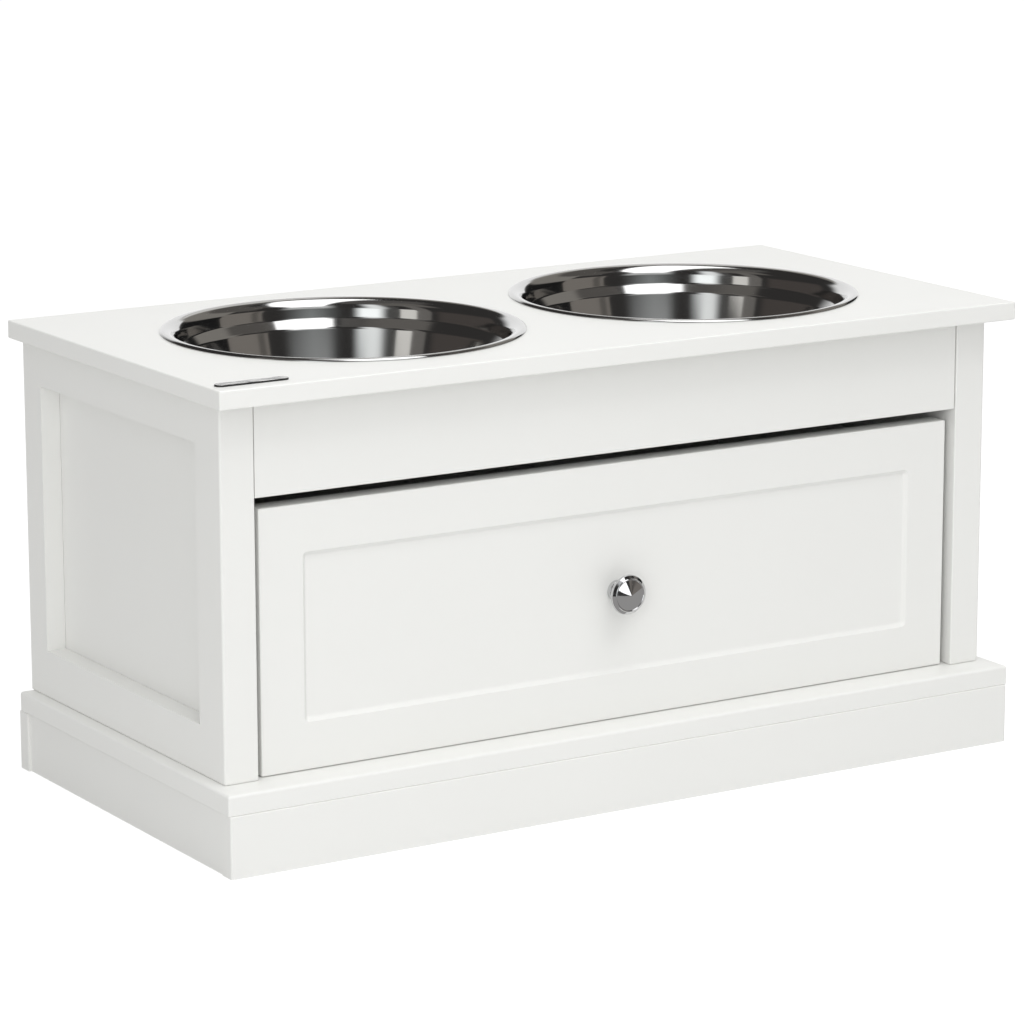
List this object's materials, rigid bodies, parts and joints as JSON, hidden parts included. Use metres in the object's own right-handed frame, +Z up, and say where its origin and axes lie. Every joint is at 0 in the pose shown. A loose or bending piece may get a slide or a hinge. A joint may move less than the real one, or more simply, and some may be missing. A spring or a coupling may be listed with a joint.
{
  "type": "elevated pet feeder with storage drawer",
  "caption": "Low white panelled case that holds lift-out steel bowls in its top at a dog's height, over a wide drawer with a round knob for food and treats.",
  "frame": {"origin": "on the floor, under the middle of the whole feeder's width and depth", "axes": "+Z up; +X along the width, from the nameplate's end to the other; the drawer's front faces -Y"},
  "size_m": [0.6006, 0.298, 0.3055],
  "materials": {
    "white_lacquer": "smooth satin white lacquer over board",
    "white_foil": "matt white foil over board",
    "hardboard": "thin hardboard, white on its seen face",
    "softwood": "planed softwood, unpainted",
    "beech": "turned beech, unfinished",
    "stainless": "spun stainless steel, polished with fine turning lines",
    "plate_metal": "plain satin metal, bare",
    "knob_chrome": "polished bright plating",
    "zinc_sheet": "rolled steel, bright zinc plating",
    "steel_balls": "polished bearing steel, lightly greased",
    "zinc_casting": "die-cast zinc",
    "zinc_screws": "bright zinc plating"
  },
  "bodies": {
    "cabinet": {"top_board": "white_lacquer", "left_front_stile": "white_lacquer", "left_back_stile": "white_lacquer", "left_top_rail": "white_lacquer", "left_bottom_rail": "white_lacquer", "left_side_panel": "white_lacquer", "right_front_stile": "white_lacquer", "right_back_stile": "white_lacquer", "right_top_rail": "white_lacquer", "right_bottom_rail": "white_lacquer", "right_side_panel": "white_lacquer", "front_apron": "white_lacquer", "base_board": "white_lacquer", "skirt_front": "white_lacquer", "skirt_back": "white_lacquer", "skirt_left": "white_lacquer", "skirt_right": "white_lacquer", "back_panel": "hardboard", "corner_blocks": "softwood", "frame_dowels": "beech", "apron_dowels": "beech", "nameplate": "plate_metal", "left_cabinet_rail": "zinc_sheet", "right_cabinet_rail": "zinc_sheet", "top_cams": "zinc_casting", "top_cam_bolts": "zinc_screws", "base_screws": "zinc_screws", "block_screws": "zinc_screws", "cabinet_rail_screws": "zinc_screws", "back_pins": "zinc_screws"},
    "drawer": {"drawer_front": "white_lacquer", "drawer_left_side": "white_foil", "drawer_right_side": "white_foil", "drawer_back": "white_foil", "drawer_bottom": "hardboard", "drawer_cams": "zinc_casting", "drawer_cam_bolts": "zinc_screws", "drawer_back_screws": "zinc_screws", "knob": "knob_chrome", "knob_screw": "zinc_screws", "left_drawer_rail": "zinc_sheet", "right_drawer_rail": "zinc_sheet", "drawer_rail_screws": "zinc_screws"},
    "left_bowl": {"bowl_left": "stainless"},
    "right_bowl": {"bowl_right": "stainless"},
    "left_cage": {"left_ball_cage": "zinc_sheet", "left_slide_balls": "steel_balls"},
    "right_cage": {"right_ball_cage": "zinc_sheet", "right_slide_balls": "steel_balls"}
  },
  "joints": [
    {"name": "drawer_slide", "type": "slide", "parent": "cabinet", "child": "drawer", "axis": [0, -1, 0], "range_m": [0, 0.175]},
    {"name": "left_cage_slide", "type": "slide", "parent": "cabinet", "child": "left_cage", "axis": [0, -1, 0], "range_m": [0, 0.0875]},
    {"name": "right_cage_slide", "type": "slide", "parent": "cabinet", "child": "right_cage", "axis": [0, -1, 0], "range_m": [0, 0.0875]},
    {"name": "bowl_left_lift", "type": "slide", "parent": "cabinet", "child": "left_bowl", "axis": [0, 0, 1], "range_m": [0, 0.1]},
    {"name": "bowl_right_lift", "type": "slide", "parent": "cabinet", "child": "right_bowl", "axis": [0, 0, 1], "range_m": [0, 0.1]}
  ],
  "couplings": [
    {"joint": "left_cage_slide", "follows": "drawer_slide", "ratio": 0.5},
    {"joint": "right_cage_slide", "follows": "drawer_slide", "ratio": 0.5}
  ]
}
